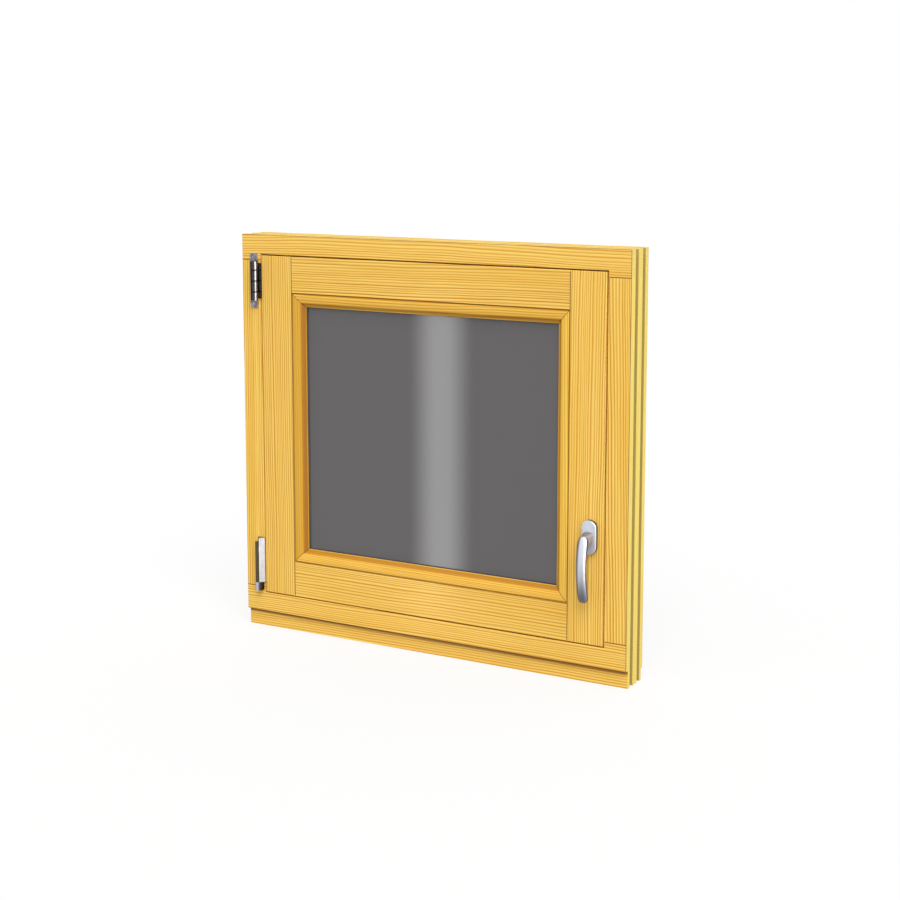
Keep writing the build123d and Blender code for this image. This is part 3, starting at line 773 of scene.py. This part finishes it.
class WindowGlass(bpy.types.PropertyGroup):
    """Colours of the panes, their spacer and the seals."""

    tint: FloatVectorProperty(
        name="Tint", description="Grey of the inner pane", subtype="COLOR", size=3,
        default=(0.137, 0.130, 0.134), min=0, max=1)
    outer_tint: FloatVectorProperty(
        name="Outer tint", description="Light that the outer pane passes", subtype="COLOR", size=3,
        default=(0.50, 0.49, 0.495), min=0, max=1)
    clear: FloatProperty(
        name="Clear", description="Share of the inner pane that is clear and not hazy",
        subtype="FACTOR", default=0.3, min=0, max=1)
    outer_clear: FloatProperty(
        name="Outer clear", description="Share of the outer pane that is clear and not hazy",
        subtype="FACTOR", default=0.9, min=0, max=1)
    spacer: FloatVectorProperty(
        name="Spacer", description="Rolled aluminium between the panes", subtype="COLOR", size=3,
        default=(0.55, 0.56, 0.57), min=0, max=1)
    glazing_seal: FloatVectorProperty(
        name="Glazing seal", description="Rubber beside the panes", subtype="COLOR", size=3,
        default=(0.025, 0.024, 0.023), min=0, max=1)
    lip_seal: FloatVectorProperty(
        name="Lip seal", description="Rubber between sash and frame", subtype="COLOR", size=3,
        default=(0.40, 0.19, 0.035), min=0, max=1)


class WindowMetal(bpy.types.PropertyGroup):
    """Colours of the hinges, the handle and the rain rail."""

    handle: FloatVectorProperty(
        name="Handle", description="Satin anodised aluminium", subtype="COLOR", size=3,
        default=(0.66, 0.69, 0.76), min=0, max=1)
    # Painted shade for the lever's edges and lower end
    lever_shade: FloatVectorProperty(
        name="Worn edge", description="The lever's darker edges and lower end", subtype="COLOR", size=3,
        default=(0.16, 0.15, 0.17), min=0, max=1)
    # Painted shade on the lever's neck behind the grip
    neck: FloatVectorProperty(
        name="Neck", description="Matte metal of the lever's neck", subtype="COLOR", size=3,
        default=(0.205, 0.183, 0.178), min=0, max=1)
    # Near-black plastic of the rosette's base, whose darkness also paints the shade at the rosette's edge
    rosette_base: FloatVectorProperty(
        name="Rosette base", description="Plastic base of the rosette", subtype="COLOR", size=3,
        default=(0.035, 0.031, 0.036), min=0, max=1)
    zinc: FloatVectorProperty(
        name="Zinc", description="Zinc plated steel", subtype="COLOR", size=3,
        default=(0.42, 0.40, 0.405), min=0, max=1)
    zinc_tint: FloatVectorProperty(
        name="Zinc tint", description="Cloudy patches of the zinc", subtype="COLOR", size=3,
        default=(0.20, 0.18, 0.195), min=0, max=1)
    barrel: FloatVectorProperty(
        name="Barrel", description="Dark polished steel of the top hinge", subtype="COLOR", size=3,
        default=(0.070, 0.064, 0.064), min=0, max=1)
    screw: FloatVectorProperty(
        name="Screws", description="Steel of the top hinge's screws", subtype="COLOR", size=3,
        default=(0.34, 0.35, 0.40), min=0, max=1)
    bearing: FloatVectorProperty(
        name="Bearing", description="Bright steel of the bottom hinge", subtype="COLOR", size=3,
        default=(0.56, 0.58, 0.62), min=0, max=1)
    strap: FloatVectorProperty(
        name="Strap", description="Dark strap of the bottom hinge", subtype="COLOR", size=3,
        default=(0.12, 0.092, 0.045), min=0, max=1)
    cover: FloatVectorProperty(
        name="Cover", description="Satin cover of the bottom hinge", subtype="COLOR", size=3,
        default=(0.34, 0.33, 0.335), min=0, max=1)
    rail: FloatVectorProperty(
        name="Rail", description="Anodised rain rail", subtype="COLOR", size=3,
        default=(0.55, 0.56, 0.57), min=0, max=1)
    rail_cap: FloatVectorProperty(
        name="Rail caps", description="Plastic end caps of the rain rail", subtype="COLOR", size=3,
        default=(0.10, 0.10, 0.105), min=0, max=1)


class WindowHandle(bpy.types.PropertyGroup):
    """Sizes of the lever and its rosette."""

    grip_width: FloatProperty(
        name="Grip width", description="Width of the grip", unit="LENGTH", default=18.6 * MM)
    grip_thickness: FloatProperty(
        name="Grip thickness", description="Thickness of the grip", unit="LENGTH", default=10.8 * MM)
    stand_top: FloatProperty(
        name="Stand at the top", description="Middle line to rosette at the top", unit="LENGTH",
        default=19 * MM)
    stand_middle: FloatProperty(
        name="Stand in the middle", description="Middle line to rosette at mid length", unit="LENGTH",
        default=26.5 * MM)
    stand_end: FloatProperty(
        name="Stand at the end", description="Middle line to rosette at the end", unit="LENGTH",
        default=16 * MM)
    grip_above: FloatProperty(
        name="Grip top", description="How far above the axis the grip ends", unit="LENGTH",
        default=6 * MM)
    neck_below: FloatProperty(
        name="Neck's foot", description="How far below the axis the neck joins the grip", unit="LENGTH",
        default=17 * MM)
    cover_depth: FloatProperty(
        name="Rosette cover", description="Depth of the metal cover on its base", unit="LENGTH",
        default=1.8 * MM)
    rosette_bevel: FloatProperty(
        name="Rosette bevel", description="Width of the rosette's bevelled rim", unit="LENGTH",
        default=1.5 * MM)


class WindowStage(bpy.types.PropertyGroup):
    """Camera and light."""

    camera_place: FloatVectorProperty(
        name="Camera", description="Place of the camera", subtype="TRANSLATION", unit="LENGTH", size=3,
        default=(1.5028, -2.5805, 0.9492))
    camera_turn: FloatProperty(
        name="Turn", description="Camera's turn from the window's front", subtype="ANGLE",
        default=radians(29.69))
    camera_tilt: FloatProperty(
        name="Tilt", description="Camera's tilt below level", subtype="ANGLE", default=radians(8.02))
    lens: FloatProperty(name="Lens", description="Focal length", unit="CAMERA", default=68.4)
    shift: FloatProperty(name="Shift", description="Upright shift of the lens", default=-0.10)
    ambient: FloatProperty(
        name="Ambient", description="Level of the light from all round", subtype="FACTOR",
        default=0.79, min=0, max=1)
    key: FloatProperty(name="Key light", description="Strength of the key light", default=2.0, min=0)
    streak: FloatProperty(
        name="Streak", description="Level of the strip that the glass mirrors", default=5.4, min=0)
    rim: FloatProperty(
        name="Rim strip", description="Level of the strip that the hinge mirrors", default=34.0, min=0)


# Operators
class WINDOW_OT_stage(bpy.types.Operator):
    """Add the floor, the light and the camera"""

    bl_idname = "tilt_window.stage"
    bl_label = "Stage"

    def execute(self, context):
        stage = context.scene.window_stage
        add_world(stage)
        add_floor()
        add_key_light(stage)
        add_mirror_cards(stage)
        add_camera(stage)
        context.scene.view_settings.view_transform = "Standard"
        return {"FINISHED"}


def add_object(name, data):
    """Puts a new object in the scene."""
    made = bpy.data.objects.new(name, data)
    bpy.context.scene.collection.objects.link(made)
    return made


def add_plane(name, size, material):
    """A flat square of the stage, lying level."""
    mesh = bmesh.new()
    bmesh.ops.create_grid(mesh, x_segments=1, y_segments=1, size=size)
    data = bpy.data.meshes.new(name)
    mesh.to_mesh(data)
    mesh.free()
    data.materials.append(material)
    plane = add_object(name, data)
    return plane


def seen_directly(start):
    """1 where the camera, a mirror or clear glass looks straight at the surface."""
    path = start.add("LightPath").socket.node
    kinds = ("Is Camera Ray", "Is Glossy Ray", "Is Transmission Ray")
    camera, glossy, transmission = [Field(start.tree, path.outputs[kind]) for kind in kinds]
    return camera.most(glossy).most(transmission)


def add_world(stage):
    """A white world for the eye, and a softer one for the light that it gives."""
    world = bpy.data.worlds.new("studio")
    world.use_nodes = True
    world.node_tree.nodes.clear()
    start = Field(world.node_tree, None)
    level = seen_directly(start) * (1 - stage.ambient) + stage.ambient
    background = start.add("Background", None, {"Color": colour(WHITE), "Strength": level})
    start.add("OutputWorld", None, {"Surface": background})
    bpy.context.scene.world = world


def add_floor():
    """A wide pale floor that keeps the window's soft shadow."""
    finish = Finish("floor")
    seen = seen_directly(finish.start)
    plain = finish.start.add("BsdfDiffuse", None, {"Color": seen.mix(FLOOR_BOUNCE, FLOOR_SEEN)})
    white = finish.start.add("Emission", None, {"Color": colour(WHITE), "Strength": 1.0})
    shader = finish.start.add("MixShader", None, {0: seen * FLOOR_WHITE, 1: plain, 2: white})
    add_plane("floor", FLOOR_SIZE, finish.end(shader))


def add_key_light(stage):
    """A large soft lamp from the upper right of the room side."""
    lamp = bpy.data.lights.new("key", "SUN")
    lamp.energy = stage.key
    lamp.angle = KEY_ANGLE
    add_object("key", lamp).rotation_euler = KEY_SIDE.to_track_quat("Z", "Y").to_euler()


def add_mirror_cards(stage):
    """Cards that only glass and metal mirror: light ones for panes and barrels, dark ones for edges."""
    upright = Euler((pi / 2, 0, 0))
    sideways = Euler((pi / 2, 0, pi / 2))
    level = Euler((0, 0, 0))
    # Name, strength, middle, width and height, turn, and where the card starts to fade to its edges
    cards = (
        ("pane_strip", stage.streak, Vector((-0.094, -0.225, 0.31)), (0.150, 0.62), upright, 0.05),
        ("barrel_strip", stage.rim, Vector((1.6, -0.80, 0.86)), (1.5, 1.1), sideways, 0.2),
        ("left_flag", 0.04, Vector((-1.5, -0.50, 0.6)), (2.0, 3.0), sideways, 0.2),
        ("grip_flag", 0.20, Vector((0.27, -0.42, 0.006)), (0.5, 0.8), level, 0.2),
    )
    for name, strength, centre, size, turn, fading in cards:
        finish = Finish(name)
        across, down = finish.place.parts()[:2]
        fade = 1 - abs(across).step(fading, CARD_EDGE)
        if name.endswith("flag"):
            fade = fade * (1 - abs(down).step(fading, CARD_EDGE))
        glow = finish.start.add("Emission", None, {"Strength": strength})
        clear = finish.start.add("BsdfTransparent")
        shader = finish.start.add("MixShader", None, {0: fade, 1: clear, 2: glow})
        card = add_plane(name, CARD_EDGE, finish.end(shader))
        card.matrix_world = Matrix.LocRotScale(centre, turn, Vector((*size, 1)))
        for kind in ("camera", "diffuse", "transmission", "volume_scatter", "shadow"):
            setattr(card, "visible_" + kind, False)


def add_camera(stage):
    """The camera at the photograph's angle."""
    lens = bpy.data.cameras.new("camera")
    lens.lens = stage.lens
    lens.shift_y = stage.shift
    lens.clip_end = 100
    camera = add_object("camera", lens)
    camera.location = stage.camera_place
    camera.rotation_euler = Euler((pi / 2 - stage.camera_tilt, 0, stage.camera_turn))
    bpy.context.scene.camera = camera


class WINDOW_OT_timber(bpy.types.Operator):
    """Finish the frame's and the sash's members in varnished pine"""

    bl_idname = "tilt_window.timber"
    bl_label = "Timber"

    def execute(self, context):
        # Node, grain, pith, shift, tone, taper
        members = (
            ("frame_head", "X", (0.93, 0.05), 1.7, 1.0, 0.0),
            ("frame_bottom_rail", "X", (-0.21, -0.08), 4.2, 1.0, 0.0),
            ("frame_hinge_jamb", "Z", (-0.62, 0.02), 7.9, 1.05, 0.0),
            ("frame_lock_jamb", "Z", (0.25, 0.03), 11.3, 1.02, 0.03),
            ("sash_top_rail", "X", (0.83, -0.06), 15.1, 0.96, 0.0),
            ("sash_bottom_rail", "X", (-0.10, 0.07), 18.6, 0.97, 0.0),
            ("sash_hinge_stile", "Z", (-0.14, 0.05), 23.4, 0.97, 0.0),
            ("sash_lock_stile", "Z", (0.49, 0.03), 29.8, 1.01, 0.02),
        )
        for name, *cut in members:
            dress([name], pine("pine_" + name, *cut))
        return {"FINISHED"}


class WINDOW_OT_beads(bpy.types.Operator):
    """Finish the glazing beads in varnished pine"""

    bl_idname = "tilt_window.beads"
    bl_label = "Beads"

    def execute(self, context):
        # Tone, warmth and slope shade differ from bead to bead, partly as painted light and shade
        # Node, grain, pith, shift, tone, taper, warmth, slope shade
        beads = (
            ("bead_top", "X", (0.74, 0.06), 34.4, 1.18, 0.0, 0.15, 0.60),
            ("bead_bottom", "X", (0.01, -0.09), 38.9, 1.12, 0.0, 0.15, 0.80),
            ("bead_hinge_side", "Z", (-0.41, 0.05), 43.7, 0.90, 0.0, 0.45, 0.98),
            ("bead_lock_side", "Z", (0.235, 0.035), 49.2, 1.34, 0.010, 0.15, 0.75),
        )
        for name, *cut in beads:
            dress([name], bead_pine("pine_" + name, *cut))
        return {"FINISHED"}


class WINDOW_OT_glazing(bpy.types.Operator):
    """Finish the panes, the spacer bars and every rubber seal"""

    bl_idname = "tilt_window.glazing"
    bl_label = "Glazing"

    def execute(self, context):
        glass = context.scene.window_glass
        dress(["inner_pane"], tinted_glass("grey_glass", glass.tint, glass.clear))
        dress(["outer_pane"], tinted_glass("outer_glass", glass.outer_tint, glass.outer_clear))
        dress(["glass_spacer"], spacer_metal("spacer_aluminium", glass.spacer))
        dress(["inner_glazing_seal", "outer_glazing_seal"], rubber("black_rubber", glass.glazing_seal))
        dress(["lip_seal", "stop_seal"], rubber("caramel_rubber", glass.lip_seal))
        return {"FINISHED"}


class WINDOW_OT_rain_rail(bpy.types.Operator):
    """Finish the rain rail and its end caps"""

    bl_idname = "tilt_window.rain_rail"
    bl_label = "Rain rail"

    def execute(self, context):
        metal = context.scene.window_metal
        dress(["rain_rail"], satin_metal("rail_aluminium", metal.rail, 0.34, drawn=(0.02, 4.0, 4.0)))
        dress(["rain_rail_end_caps"], plastic("cap_plastic", metal.rail_cap))
        return {"FINISHED"}


class WINDOW_OT_top_hinge(bpy.types.Operator):
    """Finish the top hinge and add its screws"""

    bl_idname = "tilt_window.top_hinge"
    bl_label = "Top hinge"

    def execute(self, context):
        metal = context.scene.window_metal
        plate_front = FRAME_LOW.y - PLATE_THICKNESS
        low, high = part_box("top_hinge_sash_arm")
        joints = [low.z + LEAF_TO_JOINT, (low.z + high.z) / 2, high.z - LEAF_TO_JOINT]
        zinc = zinc_metal("zinc_steel", metal.zinc, metal.zinc_tint, metal.barrel, plate_front, joints)
        dark = satin_metal("dark_polished_steel", metal.barrel, 0.26, joints=joints)
        dress(["top_hinge_frame_bracket"], zinc)
        dress(["top_hinge_sash_arm", "top_hinge_pin"], dark)
        low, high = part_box("top_hinge_frame_bracket")
        middle = low.x + PLATE_WIDTH / 2
        mesh = bmesh.new()
        for height in (high.z - SCREW_INSET, low.z + SCREW_INSET):
            cross_screw(mesh, Vector((middle, plate_front - SCREW_PROUD, height)), SCREW_RADIUS)
        bright = satin_metal("screw_steel", metal.screw, 0.3)
        add_piece("top_hinge_screws", mesh, bright, "window")
        return {"FINISHED"}


class WINDOW_OT_bottom_hinge(bpy.types.Operator):
    """Finish the bottom hinge"""

    bl_idname = "tilt_window.bottom_hinge"
    bl_label = "Bottom hinge"

    def execute(self, context):
        metal = context.scene.window_metal
        # The bearing's sideways faces get a painted shade in the barrel's colour
        bright = satin_metal(
            "bright_steel", metal.bearing, 0.2, drawn=(3.0, 3.0, 0.2), sides=metal.barrel)
        dress(["bottom_hinge_bearing", "bottom_hinge_pin"], bright)
        dress(["bottom_hinge_strap"], satin_metal("strap_steel", metal.strap, 0.22))
        dress(["bottom_hinge_cover"], satin_metal("cover_satin", metal.cover, 0.38))
        return {"FINISHED"}


class WINDOW_OT_handle(bpy.types.Operator):
    """Model the lever and its rosette, and finish them with the spindle"""

    bl_idname = "tilt_window.handle"
    bl_label = "Handle"

    def execute(self, context):
        sizes = context.scene.window_handle
        metal = context.scene.window_metal
        satin = satin_metal("rosette_aluminium", metal.handle, 0.36, metallic=0.40)
        # The rosette's near-black plastic base also paints the shade at its edge
        dark = plastic("rosette_plastic_and_shade", metal.rosette_base)
        low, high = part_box("handle_rosette")
        neck_place = (low.y - NECK_DEPTH, HANDLE_AXIS.z - NECK_FOOT)
        lever = lever_metal("lever_aluminium", metal.handle, metal.neck, metal.lever_shade, *neck_place)
        mesh = bmesh.new()
        handle_lever_cage(mesh, sizes)
        add_piece(
            "lever", mesh, lever, "handle", ["handle_lever"], smooth=None,
            levels=LEVER_LEVELS)

        seam = low.y + sizes.cover_depth
        parts = (
            ("rosette_base", high.y, seam + ROSETTE_SEAM, ROSETTE_BASE_BEVEL, dark),
            ("rosette_cover", seam, low.y, sizes.rosette_bevel, satin),
        )
        for name, start, end, rounding, material in parts:
            mesh = bmesh.new()
            centre = Vector(((low.x + high.x) / 2, start, (low.z + high.z) / 2))
            outline = oval(mesh, centre, high.x - low.x, high.z - low.z)
            face = prism(mesh, outline, (0, end - start, 0))
            bevel(mesh, list(face.edges), rounding)
            add_piece(name, mesh, material, "window", ["handle_rosette"])
        dress(["handle_spindle"], bpy.data.materials["bright_steel"])
        return {"FINISHED"}


class WINDOW_PT_finishes(bpy.types.Panel):
    """Lists the window's pieces and their sizes and colours"""

    bl_idname = "WINDOW_PT_finishes"
    bl_label = "Tilt and turn window"
    bl_space_type = "VIEW_3D"
    bl_region_type = "UI"
    bl_category = "Window"

    def draw(self, context):
        layout = self.layout
        for operator in OPERATORS:
            layout.operator(operator.bl_idname)
        for name, group in GROUPS.items():
            box = layout.box()
            for field in group.__annotations__:
                box.prop(getattr(context.scene, name), field)


OPERATORS = (
    WINDOW_OT_stage, WINDOW_OT_timber, WINDOW_OT_beads, WINDOW_OT_glazing, WINDOW_OT_rain_rail,
    WINDOW_OT_top_hinge, WINDOW_OT_bottom_hinge, WINDOW_OT_handle,
)
GROUPS = {
    "window_wood": WindowWood,
    "window_glass": WindowGlass,
    "window_metal": WindowMetal,
    "window_handle": WindowHandle,
    "window_stage": WindowStage,
}
CLASSES = (*GROUPS.values(), *OPERATORS, WINDOW_PT_finishes)


def register():
    for item in CLASSES:
        bpy.utils.register_class(item)
    for name, group in GROUPS.items():
        setattr(bpy.types.Scene, name, PointerProperty(type=group))


def unregister():
    for name in GROUPS:
        delattr(bpy.types.Scene, name)
    for item in reversed(CLASSES):
        bpy.utils.unregister_class(item)


def main():
    """Makes every piece in order."""
    register()
    for operator in OPERATORS:
        group, name = operator.bl_idname.split(".")
        getattr(getattr(bpy.ops, group), name)()


if __name__ == "__main__":
    main()
